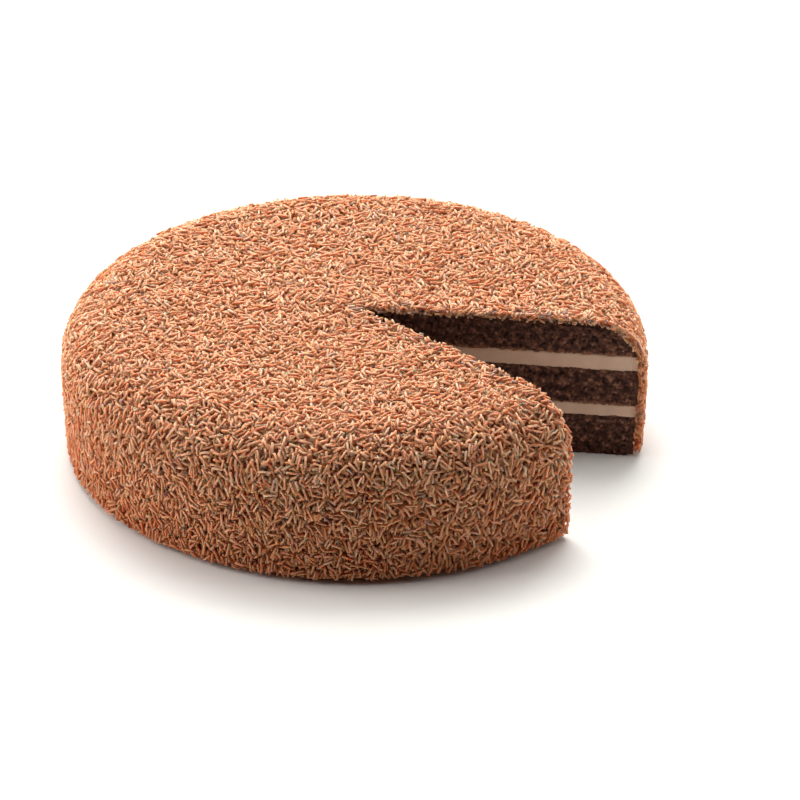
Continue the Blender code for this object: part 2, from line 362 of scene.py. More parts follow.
# %% The map of the coat and the cells under a sprinkle
MAP_CELL = 0.36 * MM
MAP_MARGIN = 6 * MM
MAP_HALF = int(math.ceil((COAT_LENGTH + MAP_MARGIN) / MAP_CELL))
MAP_SIDE = 2 * MAP_HALF + 1

# A sprinkle is tested at stations along it and in lanes across it, where its round top bulges
STATIONS = np.linspace(-0.5, 0.5, 17)
MIDDLE = len(STATIONS) // 2
LANES = np.linspace(-0.8, 0.8, 5)
BULGE = np.sqrt(1.0 - LANES**2)
print("the map of the coat has", MAP_SIDE, "by", MAP_SIDE, "cells")


def map_cells(along, turn, heading, length):
    """The cells under each sprinkle, where its stations are, and how far the coat falls away under them."""
    ring, _, out, _ = coat_place(along)
    stretch = np.where(along > COAT_FLAT, along / np.maximum(ring, LEAST_RING), 1.0)
    a = STATIONS * length[..., None]
    b = LANES * SPRINKLE_RADIUS
    cos_h, sin_h = np.cos(heading)[..., None, None], np.sin(heading)[..., None, None]
    reach = along[..., None, None] + a[..., :, None] * cos_h - b * sin_h
    across = (a[..., :, None] * sin_h + b * cos_h) * stretch[..., None, None]
    cos_t, sin_t = np.cos(turn)[..., None, None], np.sin(turn)[..., None, None]
    columns = np.rint((reach * cos_t - across * sin_t) / MAP_CELL).astype(np.int32) + MAP_HALF
    rows = np.rint((reach * sin_t + across * cos_t) / MAP_CELL).astype(np.int32) + MAP_HALF
    cells = np.clip(columns, 0, MAP_SIDE - 1) * MAP_SIDE + np.clip(rows, 0, MAP_SIDE - 1)
    bend = np.where((along > COAT_FLAT) & (along < COAT_FLAT + COAT_ARC), 1 / COAT_SHOULDER, 0.0)
    bend = bend * np.cos(heading) ** 2 + out / np.maximum(ring, LEAST_RING) * np.sin(heading) ** 2
    return cells, a, bend[..., None] * a**2 / 2


# %% [markdown]
# ## Lying, caught and standing sprinkles
# Not every sprinkle comes to lie flat. Some are caught by their neighbours with one end down in the pile.
# The top of this coat was strewn twice: first a bed that lies low, and then more sprinkles that stick in it
# and stand out by a millimetre or so, which gives the top its knobbly look. Near the cuts all of them lie,
# so that none leans out over the gap.

# %% How each sprinkle is held
# The shares of those that are caught or lie in the bed, and how high their ends and stubs may stand out
CUT_BAND = 5 * MM
CAUGHT_ON_TOP = 0.45
CAUGHT_ON_SIDE = 0.25
BED_SHARE = 0.68
BED_END = 0.3 * MM
HIGHEST_END = 1.2 * MM
PRESSED = (0.10 * MM, 0.30 * MM)
LEANING = (math.radians(28), math.radians(74))
STUB_LEAST = -0.2 * MM
STUB_MOST = 0.8 * MM
STANDING_STUB_MOST = 1.5 * MM


def sprinkle_traits(rng, along, turn):
    """How thick each sprinkle is, how hard it was pressed, and how it is held where it is caught."""
    radius = SPRINKLE_RADIUS * rng.uniform(*RADIUS_RANGE, SPRINKLES)
    pressed = rng.uniform(*PRESSED, SPRINKLES)
    on_top = along < COAT_FLAT + COAT_ARC / 2
    share = np.where(on_top, CAUGHT_ON_TOP, CAUGHT_ON_SIDE)
    ring = coat_place(along)[0]
    inland = beyond_cuts(ring * np.cos(turn), ring * np.sin(turn)) > CUT_BAND
    caught = (rng.uniform(size=SPRINKLES) < share) & inland
    standing = on_top & inland & (np.arange(SPRINKLES) > BED_SHARE * SPRINKLES)
    lean = np.tan(rng.uniform(*LEANING, SPRINKLES)) * rng.choice((-1.0, 1.0), SPRINKLES)
    return {
        "radius": radius,
        "pressed": pressed,
        "standing": standing,
        "caught": caught | standing,
        "highest": np.where(on_top & inland & ~standing, BED_END, HIGHEST_END),
        "lean": lean,
        "stub": rng.uniform(STUB_LEAST, np.where(standing, STANDING_STUB_MOST, STUB_MOST)),
    }


# %% Where a sprinkle would rest
LEFT_ARM = -STATIONS[:MIDDLE][:, None]
RIGHT_ARM = STATIONS[MIDDLE + 1 :][None, :]
LEFT_SHARE = RIGHT_ARM / (LEFT_ARM + RIGHT_ARM)
STEEPEST = 0.6


def resting_places(level, cells, a, fall, top):
    """Height at the middle and tilt of a sprinkle in each of its places, on the contacts that hold it."""
    need = (level[cells] + top).max(-1) - fall
    held = need[:, :MIDDLE, None] * LEFT_SHARE + need[:, None, MIDDLE + 1 :] * (1.0 - LEFT_SHARE)
    i, j = np.divmod(held.reshape(len(held), -1).argmax(1), MIDDLE)
    every = np.arange(len(held))
    j = j + MIDDLE + 1
    tilt = (need[every, j] - need[every, i]) / (a[every, j] - a[every, i])
    tilt = np.clip(tilt, -STEEPEST, STEEPEST)
    return (need - tilt[:, None] * a).max(1), tilt


def caught_places(level, cells, a, fall, top, tilt, stub):
    """Height at the middle of a sprinkle that stands in the pile with only its upper end out of it."""
    upper = -1 if tilt > 0 else 0
    ends = (level[cells[:, upper]] + top).max(-1) - fall[:, upper]
    return ends + stub - tilt * a[:, upper], np.full(len(ends), tilt)


# %% Laying them one after another
# The lowest place wins, but a tilted one counts as higher than it is, and one that a cut takes as far away
TILT_COST = 0.8 * MM
OUT_OF_REACH = 1.0
SEEN_MARGIN = 0.05 * MM
LEAST_SEEN = 0.04


def settle(level, traits, cells, a, fall, length, usable):
    """Lays each sprinkle in its best place. The place's number is -1 where it would stand out too far."""
    chosen = np.full(SPRINKLES, -1)
    lift = np.zeros(SPRINKLES)
    slope = np.zeros(SPRINKLES)
    for k in np.nonzero(usable.any(1))[0]:
        top = BULGE * traits["radius"][k]
        if traits["caught"][k]:
            lean, stub = traits["lean"][k], traits["stub"][k]
            height, tilt = caught_places(level, cells[k], a[k], fall[k], top, lean, stub)
        else:
            height, tilt = resting_places(level, cells[k], a[k], fall[k], top)
            height = height - traits["pressed"][k]
        cost = np.where(usable[k], height + TILT_COST * np.abs(tilt), OUT_OF_REACH)
        pick = int(cost.argmin())
        steep = abs(tilt[pick]) / math.hypot(1.0, tilt[pick])
        if height[pick] + steep * length[k, pick] / 2 > traits["highest"][k]:
            continue
        line = height[pick] + tilt[pick] * a[k, pick] + fall[k, pick]
        under = cells[k, pick]
        level[under] = np.maximum(level[under], line[:, None] + top)
        chosen[k], lift[k], slope[k] = pick, height[pick], tilt[pick]
    return chosen, lift, slope


# %% All the sprinkles that show
def lay_sprinkles(seed):
    """The place, heading, length, lift and slope of every sprinkle that nothing hides."""
    rng = np.random.default_rng(seed)
    along, turn, heading, length = falling_sprinkles(rng)
    along, turn, length, usable = cut_off(rng, along, turn, heading, length)
    cells, a, fall = map_cells(along, turn, heading, length)
    traits = sprinkle_traits(rng, along[:, 0], turn[:, 0])
    level = np.full(MAP_SIDE * MAP_SIDE, ICING_LEVEL - ICING_SINK)
    chosen, lift, slope = settle(level, traits, cells, a, fall, length, usable)

    # One shows where the map is no higher than its own top. Near a cut all are kept, as their ends show.
    kept = np.nonzero(chosen >= 0)[0]
    pick = chosen[kept]
    line = lift[kept, None] + slope[kept, None] * a[kept, pick] + fall[kept, pick]
    own_top = line[..., None] + BULGE * traits["radius"][kept, None, None]
    seen = (level[cells[kept, pick]] < own_top + SEEN_MARGIN).mean((1, 2))
    ring = coat_place(along[kept, pick])[0]
    spot = ring * np.cos(turn[kept, pick]), ring * np.sin(turn[kept, pick])
    shown = (seen > LEAST_SEEN) | (beyond_cuts(*spot) < CUT_BAND)
    print(len(kept), "sprinkles lie on the coat, and", int(shown.sum()), "of them show")
    kept, pick = kept[shown], pick[shown]
    print(int(traits["standing"][kept].sum()), "of those stand on the top")
    return {
        "along": along[kept, pick],
        "turn": turn[kept, pick],
        "heading": heading[kept, pick],
        "length": length[kept, pick],
        "radius": traits["radius"][kept],
        "lift": lift[kept],
        "slope": slope[kept],
    }


laid = lay_sprinkles(seed=7)

# %% [markdown]
# ## The shape of one sprinkle
# A sprinkle is a rod that was squeezed through a sieve and broke off: round, with blunt ends, and one in
# three is a little bent. Each is only two or three pixels wide, so five sides with smooth shading look
# round. A straight rod has a ring of points at each end, and a bent one has a third ring in its middle. The
# ends are flat faces, so a rod has 16 or 26 triangles, and forty thousand of them stay within a million.

# %% Rods from places
RING_SIDES = 5
STRAIGHT_RINGS = 2
BENT_RINGS = 3
BENT_SHARE = 0.35
BEND_SPREAD = 0.2 * MM


def rods(body, rings):
    """Points and faces of many rods, each of this many rings of points, with a flat face at each end."""
    third = np.cross(body["way"], body["across"])
    turns = math.tau * np.arange(RING_SIDES) / RING_SIDES
    shares = np.linspace(-1.0, 1.0, rings)
    along = (body["length"][:, None] / 2 * shares)[..., None] * body["way"][:, None]
    bow = (body["bend"][:, None] * (1.0 - 2.0 * shares**2))[..., None] * body["across"][:, None]
    centres = body["middle"][:, None] + along + bow
    reach = np.cos(turns)[:, None] * body["across"][:, None] + np.sin(turns)[:, None] * third[:, None]
    points = centres[:, :, None] + (reach * body["radius"][:, None, None])[:, None]

    first = np.arange(len(third))[:, None, None] * rings * RING_SIDES
    here = np.arange(RING_SIDES)
    following = np.roll(here, -1)
    low = np.arange(rings - 1)[:, None] * RING_SIDES
    high = low + RING_SIDES
    walls = np.stack([low + here, low + following, high + following, high + here], -1)
    ends = np.stack([here[::-1], here + (rings - 1) * RING_SIDES])
    faces = [(first + ends).reshape(-1, RING_SIDES), (first + walls.reshape(-1, 4)).reshape(-1, 4)]
    return points.reshape(-1, 3), faces


# %% Where each rod is in space
def sprinkle_bodies(laid, seed):
    """The middle, the way, and a direction across each laid sprinkle, in space."""
    rng = np.random.default_rng(seed)
    turn, heading = laid["turn"], laid["heading"]
    ring, height, out, up = coat_place(laid["along"])
    cos_t, sin_t = np.cos(turn), np.sin(turn)
    normal = np.stack([out * cos_t, out * sin_t, up], -1)
    down = np.stack([up * cos_t, up * sin_t, -out], -1)
    around = np.stack([-sin_t, cos_t, np.zeros_like(turn)], -1)
    flat = down * np.cos(heading)[:, None] + around * np.sin(heading)[:, None]
    middle = np.stack([ring * cos_t, ring * sin_t, height], -1) + normal * laid["lift"][:, None]
    way = flat + normal * laid["slope"][:, None]
    way /= np.linalg.norm(way, axis=1)[:, None]
    side = np.cross(normal, way)
    side /= np.linalg.norm(side, axis=1)[:, None]
    spin = rng.uniform(0, math.tau, len(turn))[:, None]
    across = side * np.cos(spin) + np.cross(way, side) * np.sin(spin)
    bend = rng.normal(0.0, BEND_SPREAD, len(turn)) * (rng.uniform(size=len(turn)) < BENT_SHARE)
    return {
        "middle": middle,
        "way": way,
        "across": across,
        "bend": bend,
        "length": laid["length"],
        "radius": laid["radius"],
    }


# %% [markdown]
# ## Milk chocolate, pressed and tumbled
# Sprinkles come from one batch of milk chocolate, but not in one colour: some are paler, darker or closer to
# caramel. A few are painted grey, a painted sheen that stands in for light reflected off glossy rods, with
# more of them beside the cuts. We could give every rod a colour of its own, but a few kinds, each a piece
# with its own material, are easier to tune. A number on every rod then shifts it a little within its kind,
# and a second one mixes in a painted warm glow of bounce light towards the foot of the cake. Chocolate is a
# fat with cocoa in it, with an IOR near 1.46 and a satin skin from tumbling. Light passes a little way
# through its cocoa butter, which fills the shade between the rods with a warm glow.

# %% The kinds of sprinkle
# The palest and the darkest colour of each kind, and its share on the top, on the side and beside a cut
KINDS = (
    ("sprinkles_milk", "e7ae8d", "d19772"),
    ("sprinkles_fawn", "eab493", "d9a07b"),
    ("sprinkles_pale", "f0c0a2", "dfab8b"),
    ("sprinkles_caramel", "e1a47d", "cb8d67"),
    ("sprinkles_cocoa", "cb9471", "ab724f"),
    # A painted grey sheen: grey rods that stand in for light reflected off glossy chocolate
    ("sprinkles_painted_sheen", "b5a49a", "8d7a70"),
    ("sprinkles_dark", "5a5450", "2e2c2e"),
)
USUAL_SHARES = np.array((0.25, 0.25, 0.20, 0.20, 0.098, 0.002, 0.0))
SIDE_SHARES = np.array((0.25, 0.25, 0.18, 0.198, 0.10, 0.010, 0.012))
KNIFE_SHARES = np.array((0.23, 0.22, 0.19, 0.16, 0.08, 0.11, 0.01))
KNIFE_BAND = 7 * MM
SIDE_TOP = 45 * MM
TONE_MIDDLE = 0.5
TONE_SPREAD = 0.28
for shares in (USUAL_SHARES, SIDE_SHARES, KNIFE_SHARES):
    print("the shares of the kinds add up to", round(shares.sum(), 3))

# %% The chocolate of one kind
# Painted warm bounce light: a warmer tone, strongest at the foot, with about a third of it left at the
# height given here
BOUNCE_GLOW_COLOUR = "cb7342"
BOUNCE_GLOW_HEIGHT = 32 * MM
BOUNCE_GLOW_MOST = 0.7
GLOW_DEPTH = 2.2 * MM
GLOW_COLOUR = (1.0, 0.5, 0.3)


def sprinkle_chocolate(name, pale, dark):
    """Satin milk chocolate whose colour runs from pale to dark over the rods of one kind."""
    skin = {
        "Specular IOR Level": 0.3,
        "Subsurface Weight": 1.0,
        "Subsurface Scale": GLOW_DEPTH,
        "Subsurface Radius": GLOW_COLOUR,
    }
    material, tree, shader = new_material(name, roughness=0.6, ior=1.46, others=skin)
    tone = add_node(tree, "ShaderNodeAttribute", {"attribute_name": "tone"}).outputs["Fac"]
    ramp = add_node(tree, "ShaderNodeValToRGB", Fac=tone)
    own_tone = set_stops(ramp, [(0.0, dark), (1.0, pale)])
    # A painted warm glow of bounce light, strongest at the foot, is mixed over the chocolate's own tone
    bounce_glow_share = add_node(tree, "ShaderNodeAttribute", {"attribute_name": "bounce_glow_share"}).outputs["Fac"]
    painted_bounce = linear(BOUNCE_GLOW_COLOUR)
    mixed = add_node(tree, "ShaderNodeMix", MIX_COLOURS, i0=bounce_glow_share, i6=own_tone, i7=painted_bounce)
    tree.links.new(mixed.outputs["Result"], shader.inputs["Base Color"])
    return material


# %% A cell of the bake layout for every rod
# How much of its cell a rod fills, lengthwise and round
CELL_LENGTHWISE = (0.25, 0.75)
CELL_ROUND = (0.2, 0.8)
CELL_BULGE = 0.1


def rod_layout(faces, rings, first_rod, cells):
    """A bake layout in which each rod has a cell of its own, with its rings of points across the cell."""
    bulge = CELL_BULGE * np.sin(np.linspace(0.0, math.pi, RING_SIDES))
    spot = np.empty((rings, RING_SIDES, 2))
    spot[..., 0] = np.linspace(*CELL_LENGTHWISE, rings)[:, None]
    spot[..., 0] += np.linspace(-1.0, 1.0, rings)[:, None] * bulge
    spot[..., 1] = np.linspace(*CELL_ROUND, RING_SIDES)
    corners = np.concatenate([part.ravel() for part in faces])
    rod, point = np.divmod(corners, rings * RING_SIDES)
    rod = rod + first_rod
    return (np.stack([rod % cells, rod // cells], -1) + spot.reshape(-1, 2)[point]) / cells


# %% Sorting the sprinkles into kinds
def kind_of_each(rng, middle):
    """The number of the kind of every sprinkle. More of them get the painted grey sheen beside a cut."""
    by_knife = np.abs(beyond_cuts(middle[:, 0], middle[:, 1])) < KNIFE_BAND
    on_side = middle[:, 2] < SIDE_TOP
    draw = rng.uniform(size=len(middle))
    kind = np.searchsorted(np.cumsum(USUAL_SHARES), draw)
    kind = np.where(on_side, np.searchsorted(np.cumsum(SIDE_SHARES), draw), kind)
    kind = np.where(by_knife, np.searchsorted(np.cumsum(KNIFE_SHARES), draw), kind)
    return np.minimum(kind, len(KINDS) - 1)


# %% One piece for each kind
def kind_piece(name, body, tone, material):
    """All the rods of one kind as one mesh: the straight ones and then the bent ones."""
    cells = math.ceil(math.sqrt(len(tone)))
    # How much painted warm bounce light each rod gets, most at the foot
    bounce_glow_share = BOUNCE_GLOW_MOST * np.exp(-body["middle"][:, 2] / BOUNCE_GLOW_HEIGHT)
    points, faces, tones, painted_bounce, layout = [], [], [], [], []
    placed = rods_before = 0
    for rings in (STRAIGHT_RINGS, BENT_RINGS):
        chosen = (body["bend"] != 0) == (rings == BENT_RINGS)
        group = {key: numbers[chosen] for key, numbers in body.items()}
        spots, parts = rods(group, rings)
        layout.append(rod_layout(parts, rings, rods_before, cells))
        points.append(spots)
        faces += [part + placed for part in parts]
        tones.append(np.repeat(tone[chosen], rings * RING_SIDES))
        painted_bounce.append(np.repeat(bounce_glow_share[chosen], rings * RING_SIDES))
        placed += len(spots)
        rods_before += int(chosen.sum())
    return mesh_piece(
        name,
        np.concatenate(points),
        faces,
        material,
        smooth=(False, True) * 2,
        values={"tone": np.concatenate(tones), "bounce_glow_share": np.concatenate(painted_bounce)},
        layout=np.concatenate(layout),
    )


def make_sprinkles(laid, seed):
    """One piece for each kind, with the rods of that kind and its chocolate."""
    rng = np.random.default_rng(seed)
    bodies = sprinkle_bodies(laid, seed + 1)
    kind = kind_of_each(rng, bodies["middle"])
    tone = np.clip(rng.normal(TONE_MIDDLE, TONE_SPREAD, len(kind)), 0.0, 1.0)
    for number, (name, pale, dark) in enumerate(KINDS):
        mine = kind == number
        material = sprinkle_chocolate(name + "_chocolate", pale, dark)
        body = {key: numbers[mine] for key, numbers in bodies.items()}
        dress(kind_piece(name, body, tone[mine], material), "sprinkle_coat")


make_sprinkles(laid, seed=31)

# %% [markdown]
# ## The icing underneath
# Brigadeiro is condensed milk cooked down with cocoa: sticky and dense. It shows as a warm brown between the
# sprinkles and as a thin band over the sponge at the cuts. One plain colour would do in the gaps between the
# sprinkles, but at the cuts the knife drags crumbs and cream over the band, so the recipe has two finishes
# and a number on the points of the cut edges that says where the second one shows. The body is a shell: rays
# from the tip give its outer skin, uneven under the sprinkles, and its inner skin, which follows the stack.

# %% Cream and crumbs at a cut
# Stirred icing changes in tone over about 4 mm, and the larger crumbs of a sponge are 1 to 2 mm wide
MOTTLE_SIZE = 4.0 * MM
CRUMB_SIZE = 1.6 * MM
CREAM_PALE = "e0bda3"
CREAM_TONE = "d6b196"
CREAM_EDGE = 1.0 * MM


def cream_bands():
    """The middle height and half the thickness of each layer of cream."""
    bands, base = [], 0.0
    for name, thickness in LAYERS:
        if name.startswith("cream"):
            bands.append((base + thickness / 2, thickness / 2))
        base += thickness
    return bands


def crumb_noise(tree, place):
    """Noise as coarse as the larger crumbs of the sponge. The finest are smaller than a pixel."""
    crumb = {"Scale": 1 / CRUMB_SIZE, "Detail": 4.0, "Roughness": 0.7}
    return add_node(tree, "ShaderNodeTexNoise", Vector=place, **crumb).outputs["Fac"]


for middle, half in cream_bands():
    print("cream from", round((middle - half) / MM, 1), "to", round((middle + half) / MM, 1), "mm")


# %% The icing's finish
ICING_ROUGHNESS = 0.5
DULLER_AT_CUT = 0.4


def brigadeiro_icing():
    """Cooked brigadeiro: a soft shine in the gaps, and dull at the cuts, with crumbs and cream over it."""
    dull = {"Specular IOR Level": 0.2}
    material, tree, shader = new_material("cooked_brigadeiro", ICING_ROUGHNESS, 1.47, dull)
    place = add_node(tree, "ShaderNodeTexCoord").outputs["Object"]
    mottle = add_node(tree, "ShaderNodeTexNoise", Vector=place, Scale=1 / MOTTLE_SIZE, Detail=3.0)
    mottle = mottle.outputs["Fac"]
    ramp = add_node(tree, "ShaderNodeValToRGB", Fac=mottle)
    plain = set_stops(ramp, [(0.3, "8a5032"), (0.7, "a46442")])
    crumbs = crumb_noise(tree, place)
    ramp = add_node(tree, "ShaderNodeValToRGB", Fac=crumbs)
    dragged = set_stops(ramp, [(0.35, "38221a"), (0.55, "5c3c2e"), (0.72, "8a5a40")])

    # The cream reaches over the icing's cut edge at its own height, with an uneven border
    height = add_node(tree, "ShaderNodeSeparateXYZ", Vector=place).outputs["Z"]
    uneven = add_node(tree, "ShaderNodeMath", MULTIPLY_ADD, i0=mottle, i1=CREAM_EDGE, i2=height)
    for middle, half in cream_bands():
        level = middle + CREAM_EDGE / 2
        band = add_node(tree, "ShaderNodeMath", COMPARE, i0=uneven.outputs[0], i1=level, i2=half)
        cream = linear(CREAM_TONE)
        over = add_node(tree, "ShaderNodeMix", MIX_COLOURS, i0=band.outputs[0], i6=dragged, i7=cream)
        dragged = over.outputs["Result"]

    by_knife = add_node(tree, "ShaderNodeAttribute", {"attribute_name": "by_knife"}).outputs["Fac"]
    mixed = add_node(tree, "ShaderNodeMix", MIX_COLOURS, i0=by_knife, i6=plain, i7=dragged)
    tree.links.new(mixed.outputs["Result"], shader.inputs["Base Color"])
    rough = {"i0": by_knife, "i1": DULLER_AT_CUT, "i2": ICING_ROUGHNESS}
    duller = add_node(tree, "ShaderNodeMath", MULTIPLY_ADD, **rough)
    tree.links.new(duller.outputs[0], shader.inputs["Roughness"])
    bump = add_node(tree, "ShaderNodeBump", Height=crumbs, Strength=0.5, Distance=0.4 * MM)
    tree.links.new(bump.outputs["Normal"], shader.inputs["Normal"])
    return material


# %% The icing shell
ICING_RAYS = 150
ICING_RINGS = 52
FIRST_RING = 3.0 * MM
ICING_BUMPS = (-0.25 * MM, 0.1 * MM)
ICING_TURNS = np.linspace(FAR_CUT, NEAR_CUT + math.tau, ICING_RAYS)
ICING_SHARES = np.linspace(FIRST_RING / COAT_LENGTH, 1.0, ICING_RINGS)


def grid_faces(rows, columns):
    """Four-cornered faces over a grid of points that is numbered row by row."""
    start = (np.arange(rows - 1)[:, None] * columns + np.arange(columns - 1)).ravel()
    return np.stack([start, start + 1, start + columns + 1, start + columns], 1)


def skin_points(radius, height):
    """Points where rays from the tip meet rings of these radii and heights."""
    shape = (ICING_RAYS, ICING_RINGS)
    reach = ray_length(ICING_TURNS[:, None], np.broadcast_to(radius, shape))
    x = CUT_TIP[0] + reach * np.cos(ICING_TURNS)[:, None]
    y = CUT_TIP[1] + reach * np.sin(ICING_TURNS)[:, None]
    return np.stack([x, y, np.broadcast_to(height, shape)], -1).reshape(-1, 3)


# %% Both skins and the edges of the icing
def make_icing(seed):
    """A shell from its outer skin, which is uneven under the sprinkles, to the stack's own outline."""
    rng = np.random.default_rng(seed)
    columns, rows = ICING_RAYS, ICING_RINGS
    radius, height, out, up = coat_place(ICING_SHARES * COAT_LENGTH)
    lift = ICING_LEVEL + rng.uniform(*ICING_BUMPS, (columns, rows))
    outer = skin_points(radius + out * lift, np.maximum(height + up * lift, COAT_FOOT))
    radius, height, _, _ = stack_place(ICING_SHARES * STACK_LENGTH)
    inner = skin_points(radius, height)
    tips = [(*CUT_TIP, COAT_HEIGHT + ICING_LEVEL), (*CUT_TIP, STACK_HEIGHT)]

    # The skins, the foot, the two cut edges and the small fans about the tip
    count = columns * rows
    top, low = 2 * count, 2 * count + 1
    first = np.arange(columns - 1) * rows
    feet = first + rows - 1
    edge = np.arange(rows - 1)
    last = (columns - 1) * rows
    band = np.stack([edge, edge + 1, edge + 1 + count, edge + count], 1)
    skin = grid_faces(columns, rows)
    quads = [
        skin,
        (skin + count)[:, ::-1],
        np.stack([feet + count, feet + rows + count, feet + rows, feet], 1),
        band[:, ::-1],
        band + last,
        np.array([[low, count, 0, top], [top, last, last + count, low]]),
    ]
    fans = [
        np.stack([first, first + rows, np.full(columns - 1, top)], 1),
        np.stack([np.full(columns - 1, low), first + rows + count, first + count], 1),
    ]
    points = np.concatenate([outer, inner, tips])
    faces = [np.concatenate(fans), np.concatenate(quads)]
    by_knife = np.zeros((columns, rows))
    by_knife[[0, -1]] = 1.0
    values = {"by_knife": np.concatenate([by_knife.ravel(), by_knife.ravel(), [1.0, 1.0]])}
    piece = mesh_piece("icing_brigadeiro", points, faces, brigadeiro_icing(), values=values)
    dress(piece, "sprinkle_coat")


make_icing(seed=5)

# %% [markdown]
# ## Sponge and cream
# A knife tears sponge rather than slicing it: the cut shows a crumb of pores and ragged walls, a few tenths
# of a millimetre deep. Cream is smooth and only smears. Both are the same kind of body, a disc with its
# wedge missing, so one function makes all five: it stacks loops that run from the tip along the far cut,
# round the rim and back along the near cut, with fine steps only where the cuts show.

# %% The surfaces between the layers
LAYER_WAVE = 0.45 * MM
LAYER_RIPPLE = 0.38 * MM
RIPPLE_SIZE = 11.0 * MM
FINE_RIPPLE_SIZE = 3.5 * MM


def ripple_at(x, y, index):
    """The small unevenness at one place of the surface under layer number index."""
    coarse = noise.noise(Vector((x / RIPPLE_SIZE, y / RIPPLE_SIZE, 7.0 * index)))
    fine = noise.noise(Vector((x / FINE_RIPPLE_SIZE, y / FINE_RIPPLE_SIZE, 7.0 * index + 3.0)))
    return coarse + 0.5 * fine


def level_between(index, x, y):
    """The height of the surface under layer number index, which the spreading knife left wavy."""
    base = sum(thickness for _, thickness in LAYERS[:index])
    if index in (0, len(LAYERS)):
        return np.full(np.shape(x), base)
    # Two slow waves round the cake, which start elsewhere on each surface
    turn = np.arctan2(y, x)
    reach = np.minimum(np.hypot(x, y) / STACK_RADIUS, 1.0)
    wave = 0.6 * np.sin(3 * turn + 1.9 * index) + 0.4 * np.sin(2 * turn + 0.7 + 3.1 * index)
    ripple = [ripple_at(px, py, index) for px, py in zip(np.ravel(x), np.ravel(y))]
    return base + LAYER_WAVE * reach * wave + LAYER_RIPPLE * np.array(ripple).reshape(np.shape(x))


# %% The relief of a cut face
# Shares and sizes of coarse, middling and fine crumb, in mm. A pore's radius is a share of their spacing.
CRUMBS = ((1.0, 3.1), (0.8, 1.35), (0.5, 0.7))
PORE_SPACING = 2.3
PORE_RADIUS = 0.34
PORE_DEPTH = 1.6
DRAG_LENGTH = 9.0
DRAG_WIDTH = 1.4


def crumb_relief(x, z, side):
    """How far torn sponge stands out of a cut at a place in mm: 1 at a ridge, -1 and less in a pore."""
    place = Vector((x, z, 40.0 * side))
    torn = sum(share * noise.noise(place / size) for share, size in CRUMBS)
    pore = noise.voronoi(place / PORE_SPACING)[0][0]
    return torn - PORE_DEPTH * max(0.0, 1.0 - pore / PORE_RADIUS)


def smear_relief(x, z, side):
    """The faint drag marks that a knife leaves on cream, at a place in mm."""
    return noise.noise(Vector((x / DRAG_LENGTH, z / DRAG_WIDTH, 20.0 * side)))


# %% The loop that every layer is stacked from
# The relief fades out over the two edges, and the flat top and bottom have a second loop set in by INSET
ARC_POINTS = 122
ARC_TURNS = np.linspace(FAR_CUT, NEAR_CUT + math.tau, ARC_POINTS)[1:-1]
print("the rim has a point every", round(math.degrees(ARC_TURNS[1] - ARC_TURNS[0]), 2), "degrees")
CUT_EDGE = 6 * MM
RIM_EDGE = 0.8 * MM
INSET = 2.2 * MM


def layer_loop(step):
    """Ray angles, shares of the way to the rim, and plan normals of a loop round the cake and its gap."""
    ray = np.arange(1, round(STACK_RADIUS / step) + 1) * step / STACK_RADIUS
    ray = ray / ray[-1]
    turns = np.concatenate([np.full(len(ray), FAR_CUT), ARC_TURNS, np.full(len(ray), NEAR_CUT), [FAR_CUT]])
    reach = np.concatenate([ray, np.ones(len(ARC_TURNS)), ray[::-1], [0.0]])
    facing = np.concatenate(
        [
            np.full(len(ray), FAR_CUT - QUARTER),
            ARC_TURNS,
            np.full(len(ray), NEAR_CUT + QUARTER),
            [(FAR_CUT + NEAR_CUT) / 2],
        ]
    )
    return turns, reach, np.cos(facing), np.sin(facing), len(ray)


def cap_faces(loop, inner, ray):
    """A strip between two loops and, inside it, three fans: at the far cut, the tip and the near cut."""
    following = np.roll(loop, -1), np.roll(inner, -1)
    strip = np.stack([loop, following[0], following[1], inner], 1)
    tip = inner[-1]
    far = np.concatenate([[tip], inner[:ray]])
    arc = inner[ray : ray + len(ARC_TURNS)]
    near = np.concatenate([inner[ray + len(arc) : -1], [tip]])
    fans = [
        np.stack([far[:-1], far[1:], np.full(ray, arc[0])], 1),
        np.stack([np.full(len(arc) - 1, tip), arc[:-1], arc[1:]], 1),
        np.stack([np.full(ray, arc[-1]), near[:-1], near[1:]], 1),
    ]
    return strip, np.concatenate(fans)


# %% One layer of the stack
# In mm, for the lowest layer, which has no cream below it
FAR_FROM_CREAM = 99.0


